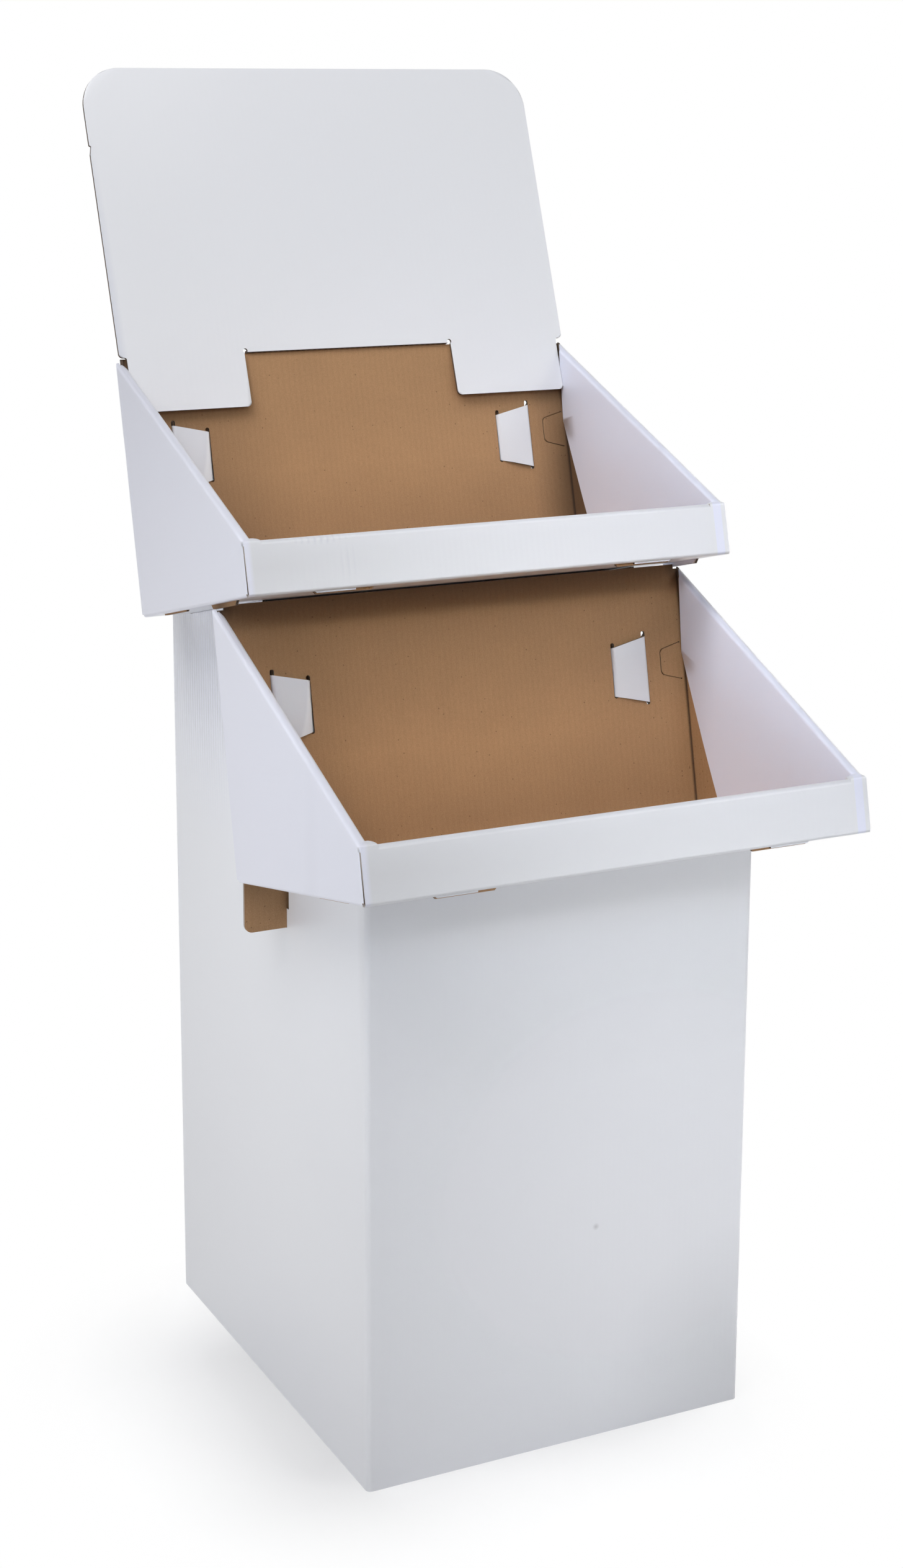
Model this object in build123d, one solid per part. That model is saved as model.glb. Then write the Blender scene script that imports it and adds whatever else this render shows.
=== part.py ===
from build123d import *
import math
import os

# A floor display of folded corrugated board: a sleeve-like column carries two
# trays that tip back, and a header card hangs over the upper tray's back wall.
# Millimetres. X runs across, Y from front to back, Z up. The pieces are worked
# out with Y = 0 at the column's front face and moved to the middle at the end.

# Board
board = 3.0             # thickness of the corrugated board
ply_gap = 0.3           # air between layers of one blank that lie together
seat_gap = 0.3          # air between separate pieces that rest together
fold_r = 3.2            # outer radius of a folded edge
kerf = 0.8              # width of a knife cut
lap = 18.0              # how far panels of one blank run into each other
past = 1.0              # how far a cutting outline runs past the board

# Column
column_w = 420.0
column_d = 494.0
column_corner_r = 5.0
back_panel_h = 980.0    # height of the column's rear wall
glue_flap_w = 38.0
glue_flap_end = 25.0    # the glued flap stops this far from both ends

# Trays, both folded from the same blank
tray_w = 528.0
tray_d = 303.0          # lip to the rear face of the back wall
lip_h = 52.5
side_h = 266.0          # side wall at the back
back_h = 269.0          # back wall

# Where the trays sit: front bottom edge of the lip, and how far they tip back
lower_lip_y = -117.0
lower_lip_z = 632.0
lower_tilt = 11.9
upper_lip_y = 139.5
upper_lip_z = 858.6
upper_tilt = 14.1

# Corner flaps inside the tray walls
front_flap_len = 110.6
back_flap_len = 95.0
back_flap_foot = 6.0    # above the floor, at the back
back_flap_lift = 12.0   # above the floor, at the flap's front end
back_flap_drop = 28.8   # below the sloping top, at the flap's front end
rear_flap_low = 60.0
rear_flap_high = 250.0

# Back wall's top, cut lower at some corners: -1 is the left one, 1 the right one
corner_dip = 4.6
corner_dip_w = 11.0     # from the tray's side
lower_dips = (-1, 1)
upper_dips = (1,)

# Inner side panel, which stops short of the back wall
inner_top_gap = 9.0     # to the back wall, at the top
inner_bend_z = 176.0    # the rear edge meets the back wall here
inner_foot_gap = 54.0   # to the back wall, at the floor
roll_end_gap = 1.0      # rolled edge to the back wall

# Locking tabs through the floor
lip_tab_start = 68.0    # from the tray's side
lip_tab_end = 131.0
lip_tab_drop = 2.4
flap_foot_drop = 1.5
side_tabs = ((50.0, 118.0), (188.0, 254.0))     # behind the lip, front and rear
lower_tab_drops = (1.5, 1.2)
upper_tab_drops = (4.5, 1.5)
tab_slack = 1.6

# Straps that lock the side walls to the back wall
strap_outer = 52.9      # from the tray's side
strap_inner = 93.4
strap_waist = 31.7      # the rear flap starts to narrow here
strap_outer_low = 127.7
strap_outer_high = 197.1
strap_inner_low = 137.7
strap_inner_high = 187.7
slot_w = 4.4
slot_over = 5.4         # a slot runs on above its strap
slot_under = 2.2        # and a little below it

# Knife-cut tongue in the back wall, beside each corner
tongue_root = 11.0
tongue_tip = 36.0
tongue_root_low = 148.0
tongue_root_high = 188.0
tongue_tip_low = 155.0
tongue_tip_high = 181.5
tongue_r = 6.0
notch_depth = 3.0       # in the rear fold, at the tongue's height

# Raised ends of the rolled lip
hump_w = 17.2
lower_hump = 4.2        # rise above the lip
upper_hump = 2.4
roll_flat = 0.1         # left flat on top of a rolled edge

# Header card
header_side_gap = 2.0   # the card's edge to the tray's side
header_h = 315.0        # above the back wall
header_tilt = 20.3
header_corner_r = 44.0
lobe_side_gap = 8.0     # a lobe's outer edge to the card's edge
lobe_drop = 57.9
lobe_r = 5.0
shoulder_h = 1.0        # above the back wall
shoulder_r = 4.5
armpit_r = 2.5          # between a shoulder and its lobe
notch_half = 122.3
relief_r = 2.6
header_tab_drop = 56.0
tab_side_gap = 4.0
nick_up = 229.0         # small nick in the left edge
nick_len = 9.0
nick_depth = 2.0

# Support panel, whose ears come out through the column's side walls
panel_y = 185.8         # front face
panel_low = 420.0
ear_low = 514.7
ear_reach = 44.6
ear_r = 8.5
ear_top_gap = 3.0       # below the cradle's rear line
slot_slack = 0.4
relief_y = 5.4          # relief in front of the slot
relief_low = 534.5

# Worked out from the above
stack = 3 * board + 2 * ply_gap             # a rolled wall of three layers
half_w = tray_w / 2
header_half = half_w - header_side_gap
second_ply = board + ply_gap                # outer face of the middle layer
inner_face = stack + ply_gap                # where the next inner layer may begin
floor_front = second_ply + fold_r           # the floor's side folds begin here
wall_inside = tray_d - board
rear_face = tray_d + ply_gap + board        # outer face of the flaps behind the wall
rest_line = rear_face + seat_gap
slope_rise = side_h - lip_h
slope_angle = math.degrees(math.atan2(slope_rise, tray_d))
roll_r = (stack - roll_flat) / 2


def slope_z(y):
    """Height of the side wall's sloping top at a distance behind the lip."""
    return lip_h + slope_rise * y / tray_d


def folded(points, radii, side):
    """Section of one folded board, from a path along its outer face."""
    turn = 90 if side == Side.LEFT else -90
    outer = [Vector(*point) for point in points]
    across = [(b - a).normalized().rotate(Axis.Z, turn) for a, b in zip(outer, outer[1:])]
    corners = [(a + b) * (board / (1 + a.dot(b))) for a, b in zip(across, across[1:])]
    steps = [across[0] * board, *corners, across[-1] * board]
    inner = [point + step for point, step in zip(outer, steps)]
    section = make_face(Polyline(*outer, *reversed(inner), close=True))
    for outer_corner, inner_corner, radius in zip(outer[1:-1], inner[1:-1], radii):
        for corner, corner_r in ((outer_corner, radius), (inner_corner, radius - board)):
            section = fillet(section.vertices().sort_by_distance(corner)[0], corner_r)
    return section


def plate_x(points, x_from, x_to):
    """Prism across X from an outline of (y, z) points."""
    outline = Plane.YZ * make_face(Polyline(*points, close=True))
    return Pos(x_from, 0, 0) * extrude(outline, amount=x_to - x_from)


def plate_y(points, y_from, y_to):
    """Prism along Y from an outline of (x, z) points."""
    outline = Plane.XZ * make_face(Polyline(*points, close=True))
    return Pos(0, y_to, 0) * extrude(outline, amount=y_to - y_from)


def block(x_from, x_to, y_from, y_to, z_from, z_to):
    """Box between two corners."""
    size = (x_to - x_from, y_to - y_from, z_to - z_from)
    return Pos(x_from, y_from, z_from) * Box(*size, align=(Align.MIN, Align.MIN, Align.MIN))


def prism_x(section, x_from, x_to):
    """Extrude a (y, z) section across X."""
    return Pos(x_from, 0, 0) * extrude(Plane.YZ * section, amount=x_to - x_from)


def prism_z(section, z_from, z_to):
    """Extrude an (x, y) section upward."""
    return Pos(0, 0, z_from) * extrude(section, amount=z_to - z_from)


def both_sides(shape):
    """A left-hand feature together with its mirror image."""
    return shape + mirror(shape, about=Plane.YZ)


def tray_pose(lip_y, lip_z, tilt):
    """Where a tray sits, tipped back about its lip's bottom edge."""
    return Location((0, lip_y, lip_z), (-tilt, 0, 0))


def side_point(pose, y, z):
    """A tray point seen from the side, as (y, z) of the stand."""
    place = (pose * Pos(0, y, z)).position
    return (place.Y, place.Z)


def meet(a, b, c, d):
    """Crossing point of the line a-b with the line c-d."""
    ab = (b[0] - a[0], b[1] - a[1])
    cd = (d[0] - c[0], d[1] - c[1])
    ac = (c[0] - a[0], c[1] - a[1])
    share = (ac[0] * cd[1] - ac[1] * cd[0]) / (ab[0] * cd[1] - ab[1] * cd[0])
    return (a[0] + share * ab[0], a[1] + share * ab[1])


def tray_lip():
    """Rolled lip: outer panel, round top edge and inner panel, full width."""
    path = [(stack, second_ply), (stack, lip_h), (0, lip_h), (0, 0), (stack + lap, 0)]
    lip = prism_x(folded(path, [roll_r, roll_r, fold_r], Side.LEFT), -half_w, half_w)
    under_roll = lip_h - stack / 2 - ply_gap
    end_back = stack + lap + past
    above_fold = fold_r + past
    end = block(-half_w - past, -half_w + inner_face, board, end_back, fold_r, under_roll)
    end += block(-half_w - past, -half_w + inner_face, floor_front, end_back, -past, above_fold)
    corner_back = second_ply + ply_gap
    end += block(-half_w - past, -half_w + ply_gap, corner_back, end_back, -past, above_fold)
    return lip - both_sides(end)


def tray_humps(rise):
    """The lip's roll rises in a small hump where it covers each side wall's end."""
    arc_r = (hump_w ** 2 / 4 + rise ** 2) / (2 * rise)
    top = lip_h + rise
    middle_x = -half_w + hump_w / 2
    dome = Pos(middle_x, stack / 2, top - arc_r) * Rot(90, 0, 0) * Cylinder(arc_r, stack)
    roll_z = top - stack / 2
    rolled = Pos(middle_x, stack / 2, roll_z) * Rot(0, 90, 0) * Cylinder(stack / 2, hump_w)
    rolled += block(-half_w, -half_w + hump_w, 0, stack, lip_h - stack, roll_z)
    over_lip = block(-half_w, -half_w + hump_w, 0, stack, lip_h - stack / 2, top)
    return both_sides(dome & rolled & over_lip)


def tray_floor():
    """Floor with the folds that carry the side walls."""
    upturn = 2 * fold_r
    path = [(-half_w, upturn), (-half_w, 0), (half_w, 0), (half_w, upturn)]
    fold = Plane.XZ * folded(path, [fold_r, fold_r], Side.LEFT)
    back = tray_d - fold_r
    return Pos(0, back, 0) * extrude(fold, amount=back - floor_front)


def tray_back():
    """Back wall, its fold to the floor and its two corner flaps."""
    path = [(tray_d - lap, 0), (tray_d, 0), (tray_d, back_h)]
    edge_x = half_w - second_ply - fold_r
    wall = prism_x(folded(path, [fold_r], Side.LEFT), -edge_x, edge_x)
    flap_front = tray_d - back_flap_len
    flap_x = -half_w + second_ply
    corner = [(flap_x, flap_front), (flap_x, tray_d), (flap_x + lap, tray_d)]
    flap = prism_z(folded(corner, [fold_r], Side.RIGHT), 0, back_h)
    below_roll = board / math.cos(math.radians(slope_angle)) + board
    outline = [
        (flap_front, back_flap_lift),
        (tray_d - lap, back_flap_foot),
        (tray_d + past, back_flap_foot),
        (tray_d + past, back_h),
        (wall_inside - ply_gap, back_h),
        (wall_inside - ply_gap, slope_z(wall_inside) - below_roll),
        (flap_front, slope_z(flap_front) - back_flap_drop),
    ]
    flap &= plate_x(outline, -half_w, half_w)
    return wall + both_sides(flap)


def side_strip():
    """Left outer panel with its front and rear flaps, folded round the corners."""
    path = [
        (-half_w + lap, rear_face),
        (-half_w, rear_face),
        (-half_w, second_ply),
        (-half_w + front_flap_len, second_ply),
    ]
    return prism_z(folded(path, [fold_r, fold_r], Side.LEFT), fold_r, side_h)


def tray_side():
    """Left side wall's outer strip, cut along the slope and at the tongue's height."""
    under_roll = lip_h - stack / 2
    below = stack
    outline = [
        (0, fold_r),
        (rear_face + past, fold_r),
        (rear_face + past, side_h - below),
        (wall_inside - below, slope_z(wall_inside - below) - below),
        (2 * inner_face, slope_z(2 * inner_face) - below),
        (inner_face, under_roll),
        (0, under_roll),
    ]
    strip = side_strip() & plate_x(outline, -half_w - past, 0)
    notch = block(
        -half_w - past, -half_w + 2 * fold_r, rear_face - notch_depth, rear_face + past,
        tongue_root_low, tongue_root_high,
    )
    return strip - notch


def tray_roll():
    """Left side's rolled top edge, which slopes down to the lip, and its inner panel."""
    run = math.hypot(tray_d, slope_rise)
    lean = math.radians(slope_angle)
    along = (0, math.cos(lean), math.sin(lean))
    at_lip = Plane(origin=(-half_w, 0, lip_h), x_dir=(1, 0, 0), z_dir=along)
    section = folded([(stack, run), (stack, 0), (0, 0), (0, run)], [roll_r, roll_r], Side.RIGHT)
    over = side_h
    roll = extrude(at_lip * section, amount=run + over, both=True)
    middle_x = -half_w + stack / 2
    inside_x = -half_w + stack
    roll_end = wall_inside - roll_end_gap
    panel_end = wall_inside - inner_top_gap
    lip_middle = lip_h - stack / 2
    cheek = stack / 2 * math.cos(math.radians(45))
    nose = [
        (stack / 2, slope_z(stack / 2)),
        (stack / 2 - cheek, lip_middle + cheek),
        (stack / 2, lip_middle),
        (inner_face, lip_middle),
    ]
    outer = [
        (inner_face, fold_r),
        (roll_end, fold_r),
        (roll_end, side_h),
        *nose,
    ]
    floor_top = board + ply_gap
    inner = [
        (inner_face, floor_top),
        (wall_inside - inner_foot_gap, floor_top),
        (wall_inside - 2 * ply_gap, inner_bend_z),
        (panel_end, side_h),
        *nose,
    ]
    wall = roll & plate_x(outer, -half_w - past, middle_x)
    wall += roll & plate_x(inner, middle_x, inside_x + past)
    crest = make_face(
        Polyline(
            (middle_x, inner_face),
            (middle_x, roll_end),
            (inside_x, panel_end),
            (inside_x, inner_face),
            close=True,
        )
    )
    wall += roll & prism_z(crest, side_h - 2 * stack, side_h + past)
    tail_front = wall_inside - stack
    tail = block(
        -half_w - past, -half_w + board, tail_front, rear_face + past, side_h - 2 * stack, side_h + past,
    )
    return wall + (side_strip() & tail & roll)


def tray_straps():
    """Left strap: a tongue of the rear flap, out through one slot and into the next."""
    front_y = wall_inside - ply_gap - board
    path = [
        (-half_w + strap_outer, tray_d),
        (-half_w + strap_outer, front_y),
        (-half_w + strap_inner, front_y),
        (-half_w + strap_inner, rear_face),
        (-half_w + 2 * fold_r, rear_face),
    ]
    strip = prism_z(folded(path, [fold_r] * 3, Side.LEFT), 0, side_h)
    end_x = strap_inner + past
    outline = [
        (-half_w, rear_flap_low),
        (-half_w + strap_waist, (rear_flap_low + strap_outer_low) / 2),
        (-half_w + strap_outer - ply_gap, strap_outer_low),
        (-half_w + end_x, strap_inner_low),
        (-half_w + end_x, strap_inner_high),
        (-half_w + strap_outer - ply_gap, strap_outer_high),
        (-half_w + strap_waist, (rear_flap_high + strap_outer_high) / 2),
        (-half_w, rear_flap_high),
    ]
    return strip & plate_y(outline, front_y - past, rear_face + past)


def strap_slots():
    """The two slots in the back wall that the left strap passes through."""
    outer_low = strap_outer_low - slot_under
    outer_high = strap_outer_high + slot_over
    inner_low = strap_inner_low - slot_under
    inner_high = strap_inner_high + slot_over
    slack = (slot_w - board) / 2
    slots = []
    for middle, low, high in (
        (strap_outer + slot_w / 2 - slack, outer_low, outer_high),
        (strap_inner - slot_w / 2 + slack, inner_low, inner_high),
    ):
        outline = Pos(-half_w + middle, (low + high) / 2) * SlotOverall(high - low, slot_w, rotation=90)
        slots.append(Pos(0, tray_d + ply_gap / 2, 0) * extrude(Plane.XZ * outline, amount=board + ply_gap))
    return slots


def tongue_cut():
    """Knife cut round a tongue that stays in the back wall beside the left corner."""
    outline = make_face(
        Polyline(
            (-half_w + tongue_root, tongue_root_low),
            (-half_w + tongue_tip, tongue_tip_low),
            (-half_w + tongue_tip, tongue_tip_high),
            (-half_w + tongue_root, tongue_root_high),
            close=True,
        )
    )
    tip = outline.vertices().sort_by(Axis.X)[-2:]
    outline = fillet(tip, tongue_r)
    inside = offset(outline, amount=-kerf)
    to_root = Pos(-half_w + tongue_root, (tongue_root_low + tongue_root_high) / 2)
    inside += to_root * Rectangle(4 * kerf, tongue_root_high - tongue_root_low - 4 * kerf)
    return Pos(0, tray_d + ply_gap / 2, 0) * extrude(Plane.XZ * (outline - inside), amount=board + ply_gap)


def tray_tabs(side_drops):
    """Left half's tabs of the inner panels and the front flap's foot, all below the floor."""
    tuck = 2 * board
    taper = lip_tab_drop
    lip_tab = [
        (-half_w + lip_tab_start, tuck),
        (-half_w + lip_tab_start, 0),
        (-half_w + lip_tab_start + taper, -lip_tab_drop),
        (-half_w + lip_tab_end - taper, -lip_tab_drop),
        (-half_w + lip_tab_end, 0),
        (-half_w + lip_tab_end, tuck),
    ]
    tabs = plate_y(lip_tab, stack - board, stack)
    foot = [
        (-half_w + lip_tab_start, tuck),
        (-half_w + lip_tab_start, 0),
        (-half_w + lip_tab_start + taper, -flap_foot_drop),
        (-half_w + front_flap_len, -flap_foot_drop),
        (-half_w + front_flap_len, tuck),
    ]
    tabs += plate_y(foot, second_ply, second_ply + board)
    for (start, end), drop in zip(side_tabs, side_drops):
        side_tab = [
            (start, tuck),
            (start, 0),
            (start + drop, -drop),
            (end - drop, -drop),
            (end, 0),
            (end, tuck),
        ]
        tabs += plate_x(side_tab, -half_w + stack - board, -half_w + stack)
    return tabs


def tab_slots():
    """Left half's slots in the floor for the tabs."""
    through = (-past, board + ply_gap / 2)
    lip_slot = block(
        -half_w + lip_tab_start - tab_slack, -half_w + lip_tab_end + tab_slack,
        board - ply_gap, stack + ply_gap, *through,
    )
    slots = [lip_slot]
    for start, end in side_tabs:
        slots.append(
            block(
                -half_w + stack - board - ply_gap, -half_w + stack + ply_gap,
                start - tab_slack, end + tab_slack, *through,
            )
        )
    return slots


def tray(hump_rise, side_drops, dips):
    """One tray, folded from a single blank, with its floor flat on Z = 0."""
    blank = tray_floor() + tray_lip() + tray_back()
    for cut in strap_slots() + [tongue_cut()] + tab_slots():
        blank -= both_sides(cut)
    dip_x = half_w - corner_dip_w
    for side in dips:
        ends = sorted((side * dip_x, side * (half_w + past)))
        blank -= block(*ends, 0, rear_face + past, back_h - corner_dip, back_h + past)
    blank += both_sides(tray_side() + tray_roll() + tray_straps() + tray_tabs(side_drops))
    return blank + tray_humps(hump_rise)


lower_pose = tray_pose(lower_lip_y, lower_lip_z, lower_tilt)
upper_pose = tray_pose(upper_lip_y, upper_lip_z, upper_tilt)


def column_outline():
    """Side view of the column, with a cradle cut for each tray."""
    lower_seat = side_point(lower_pose, 0, -seat_gap), side_point(lower_pose, rest_line, -seat_gap)
    lower_back = lower_seat[1], side_point(lower_pose, rest_line, back_h)
    upper_seat = side_point(upper_pose, 0, -seat_gap), side_point(upper_pose, rest_line, -seat_gap)
    upper_back = upper_seat[1], side_point(upper_pose, rest_line, back_h)
    front = (0, 0), (0, 1)
    top = (0, back_panel_h), (column_d, back_panel_h)
    return [
        (0, 0),
        meet(*front, *lower_seat),
        lower_seat[1],
        meet(*lower_back, *upper_seat),
        upper_seat[1],
        meet(*upper_back, *top),
        (column_d, back_panel_h),
        (column_d, 0),
    ]


def column():
    """Folded sleeve: low front, side walls cut in two steps, tall back."""
    inner_w = column_w - 2 * board
    inner_d = column_d - 2 * board
    middle = Pos(0, column_d / 2)
    ring = middle * RectangleRounded(column_w, column_d, column_corner_r)
    ring -= middle * RectangleRounded(inner_w, inner_d, column_corner_r - board)
    sleeve = extrude(ring, amount=back_panel_h)
    flap_top = side_point(upper_pose, rest_line, 0)[1] - glue_flap_end
    sleeve += block(
        inner_w / 2 - board, inner_w / 2, column_d - board - glue_flap_w, column_d - board,
        glue_flap_end, flap_top,
    )
    side_cut = column_w / 2 + past
    sleeve &= plate_x(column_outline(), -side_cut, side_cut)
    slot_front = panel_y - slot_slack
    slot_back = panel_y + board + slot_slack
    sleeve -= block(-side_cut, side_cut, slot_front, slot_back, ear_low - slot_slack, back_panel_h)
    sleeve -= block(-side_cut, side_cut, panel_y - relief_y, panel_y, relief_low, lower_lip_z)
    return sleeve


def support_panel():
    """Cross panel inside the column, with an ear out of a slot in each side wall."""
    riser = side_point(lower_pose, rest_line, 0), side_point(lower_pose, rest_line, back_h)
    top = meet(*riser, (panel_y, 0), (panel_y, 1))[1] - ear_top_gap
    body_half = column_w / 2 - board - seat_gap
    ear_half = column_w / 2 + ear_reach
    middle_x = (body_half + ear_half) / 2
    outline = Pos(0, (panel_low + top) / 2) * Rectangle(2 * body_half, top - panel_low)
    ear_w = ear_half - body_half + 2 * board
    ear = Pos(ear_half - ear_w / 2, (ear_low + top) / 2) * Rectangle(ear_w, top - ear_low)
    outline += ear + mirror(ear, about=Plane.YZ)
    tips = [v for v in outline.vertices() if abs(v.X) > middle_x and v.Y < ear_low + board]
    outline = fillet(tips, ear_r)
    return Pos(0, panel_y + board, 0) * extrude(Plane.XZ * outline, amount=board)


def header_outline():
    """Front view of the card: rounded top, narrow shoulders and two lobes."""
    outline = Pos(0, (header_h + shoulder_h) / 2)
    outline *= Rectangle(2 * header_half, header_h - shoulder_h)
    lobe_w = header_half - lobe_side_gap - notch_half
    lobe = Pos(notch_half + lobe_w / 2, (shoulder_h - lobe_drop) / 2)
    lobe *= Rectangle(lobe_w, shoulder_h + lobe_drop)
    outline += lobe + mirror(lobe, about=Plane.YZ)
    corners = outline.vertices()
    outline = fillet([v for v in corners if v.Y > header_h - past], header_corner_r)
    low_corners = [v for v in outline.vertices() if abs(v.Y - shoulder_h) < past]
    armpits = [v for v in low_corners if notch_half + past < abs(v.X) < header_half - past]
    outline = fillet(armpits, armpit_r)
    low_corners = [v for v in outline.vertices() if abs(v.Y - shoulder_h) < past]
    outline = fillet([v for v in low_corners if abs(v.X) > header_half - past], shoulder_r)
    outline = fillet([v for v in outline.vertices() if v.Y < past - lobe_drop], lobe_r)
    for side in (-1, 1):
        outline -= Pos(side * (notch_half - relief_r / 2), relief_r) * Circle(relief_r)
    nick = Polyline(
        (-header_half - past, nick_up - nick_len),
        (-header_half, nick_up - nick_len),
        (-header_half + nick_depth, nick_up),
        (-header_half - past, nick_up + nick_depth),
        close=True,
    )
    return outline - make_face(nick)


def header_card():
    """Card with its lobes before the back wall and a folded tab behind it."""
    hinge = upper_pose * Pos(0, wall_inside - seat_gap, back_h)
    lean = Location(hinge.position, (-header_tilt, 0, 0))
    card = lean * extrude(Plane.XZ * header_outline(), amount=board)
    tab_half = notch_half - tab_side_gap
    tab_top = back_h + seat_gap + board
    tab_back = tray_d + seat_gap + board
    path = [
        (wall_inside - board / 2, tab_top),
        (tab_back, tab_top),
        (tab_back, back_h - header_tab_drop),
    ]
    tab = prism_x(folded(path, [fold_r], Side.RIGHT), -tab_half, tab_half)
    return card + upper_pose * tab


def as_one(shape):
    """The shape's single solid, cleaned of seams."""
    solids = shape.clean().solids()
    assert len(solids) == 1, len(solids)
    return solids[0]


def stand():
    """All pieces, with the origin on the floor at the middle of the stand's depth."""
    pieces = {
        "column": as_one(column()),
        "support_panel": as_one(support_panel()),
        "header_card": as_one(header_card()),
    }
    pieces["lower_tray"] = lower_pose * as_one(tray(lower_hump, lower_tab_drops, lower_dips))
    pieces["upper_tray"] = upper_pose * as_one(tray(upper_hump, upper_tab_drops, upper_dips))
    middle_y = Compound(list(pieces.values())).bounding_box().center().Y
    return {name: Pos(0, -middle_y, 0) * piece for name, piece in pieces.items()}


os.makedirs("parts", exist_ok=True)
for name, piece in stand().items():
    piece.label = name
    export_step(piece, f"parts/{name}.step")
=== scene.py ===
# %% [markdown]
# # A cardboard display stand
# The stand is five folded or cut sheets of corrugated board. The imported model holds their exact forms,
# so the scene starts from it, dresses each sheet with its two liners and its cut edges, and then lights
# it like a studio photograph.

# %% Load the frame
import math

import bmesh
import bpy
from mathutils import Matrix, Vector
from mathutils.bvhtree import BVHTree


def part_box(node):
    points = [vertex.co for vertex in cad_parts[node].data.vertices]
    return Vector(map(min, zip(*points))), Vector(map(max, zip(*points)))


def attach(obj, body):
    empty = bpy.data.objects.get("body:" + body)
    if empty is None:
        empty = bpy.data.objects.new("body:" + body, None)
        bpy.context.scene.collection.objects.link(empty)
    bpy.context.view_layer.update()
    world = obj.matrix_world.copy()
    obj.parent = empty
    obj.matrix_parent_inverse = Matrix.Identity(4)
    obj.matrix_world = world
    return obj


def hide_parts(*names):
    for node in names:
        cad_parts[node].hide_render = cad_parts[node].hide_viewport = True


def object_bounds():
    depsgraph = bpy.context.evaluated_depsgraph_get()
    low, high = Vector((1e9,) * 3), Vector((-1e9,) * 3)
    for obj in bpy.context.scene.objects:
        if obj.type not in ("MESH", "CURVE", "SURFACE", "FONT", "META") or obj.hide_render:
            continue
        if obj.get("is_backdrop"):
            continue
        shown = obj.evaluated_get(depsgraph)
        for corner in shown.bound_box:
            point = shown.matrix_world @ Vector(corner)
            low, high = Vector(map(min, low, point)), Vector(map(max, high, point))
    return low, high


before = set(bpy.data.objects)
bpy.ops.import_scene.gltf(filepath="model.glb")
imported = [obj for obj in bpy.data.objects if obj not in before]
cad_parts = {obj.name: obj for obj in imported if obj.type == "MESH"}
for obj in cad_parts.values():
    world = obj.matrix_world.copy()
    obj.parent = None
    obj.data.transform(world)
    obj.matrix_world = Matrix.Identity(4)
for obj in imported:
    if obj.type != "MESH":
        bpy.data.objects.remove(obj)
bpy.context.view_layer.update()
MM = 0.001
X, Y, Z = Vector((1, 0, 0)), Vector((0, 1, 0)), Vector((0, 0, 1))
print("sheets:", sorted(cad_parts))

# %% [markdown]
# The camera comes first, because every later choice is judged through it. It stands a little above the
# top of the stand and to its left, and looks down. Its lens is worked out from the photograph's focal
# length in pixels, and the small shift keeps the upright edges where the photograph has them.

# %% Camera
PHOTO_W, PHOTO_H = 1456, 2527
FOCAL_PX = 4100.3
AXIS_X_PX, AXIS_Y_PX = 653.8, 1044.5
SENSOR = 36.0
EYE = Vector((-1.1390, -2.2611, 1.3171))
YAW, PITCH = math.radians(25.67), math.radians(12.31)

camera_data = bpy.data.cameras.new("photo_camera")
camera_data.sensor_width = SENSOR
camera_data.lens = FOCAL_PX * SENSOR / PHOTO_H
camera_data.shift_x = (PHOTO_W / 2 - AXIS_X_PX) / PHOTO_H
camera_data.shift_y = (AXIS_Y_PX - PHOTO_H / 2) / PHOTO_H
camera_data.clip_start, camera_data.clip_end = 0.1, 100.0
camera = bpy.data.objects.new("photo_camera", camera_data)
camera.location = EYE
camera.rotation_euler = (math.pi / 2 - PITCH, 0, -YAW)
bpy.context.scene.collection.objects.link(camera)
bpy.context.scene.camera = camera
bpy.context.scene.view_settings.view_transform = "Standard"
print("lens", round(camera_data.lens, 2), "mm")

# %% [markdown]
# A material is a small machine of nodes. These helpers keep its wiring short: one adds a node and plugs
# in values or other nodes' outputs, and the others are the sums, colours and bumps that the finishes
# share.

# %% Node helpers
def new_material(name):
    """A material with an empty node tree and its output."""
    material = bpy.data.materials.new(name)
    material.use_nodes = True
    tree = material.node_tree
    tree.nodes.clear()
    return material, tree, tree.nodes.new("ShaderNodeOutputMaterial")


def add(tree, kind, inputs=None, **settings):
    """Add a node, set its options, and plug numbers or sockets into its inputs."""
    node = tree.nodes.new(kind)
    for name, value in settings.items():
        setattr(node, name, value)
    for name, value in (inputs or {}).items():
        if isinstance(value, bpy.types.NodeSocket):
            tree.links.new(value, node.inputs[name])
        else:
            node.inputs[name].default_value = value
    return node


def math_node(tree, operation, first, second=0.0, third=0.0):
    """One sum, with numbers or sockets."""
    return add(tree, "ShaderNodeMath", {0: first, 1: second, 2: third}, operation=operation).outputs[0]


def vector_node(tree, operation, first, second=(0, 0, 0)):
    """One sum on vectors. A length comes out as a number."""
    node = add(tree, "ShaderNodeVectorMath", {0: first, 1: second}, operation=operation)
    return node.outputs["Value" if operation == "LENGTH" else "Vector"]


def spread(tree, value, low, high, to_low=0.0, to_high=1.0):
    """Map a value from one range to another, held at both ends."""
    inputs = {"Value": value, "From Min": low, "From Max": high, "To Min": to_low, "To Max": to_high}
    return add(tree, "ShaderNodeMapRange", inputs).outputs["Result"]


def noise(tree, vector, scale, detail=2.0, roughness=0.5):
    """Soft random values between 0 and 1."""
    inputs = {"Vector": vector, "Scale": scale, "Detail": detail, "Roughness": roughness}
    return add(tree, "ShaderNodeTexNoise", inputs).outputs["Fac"]


# %% [markdown]
# The next helpers work on colours and bumps. A tint is mixed in by a share, a bump is laid over the one
# below it, and one shader closes each material of the stand.

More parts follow.
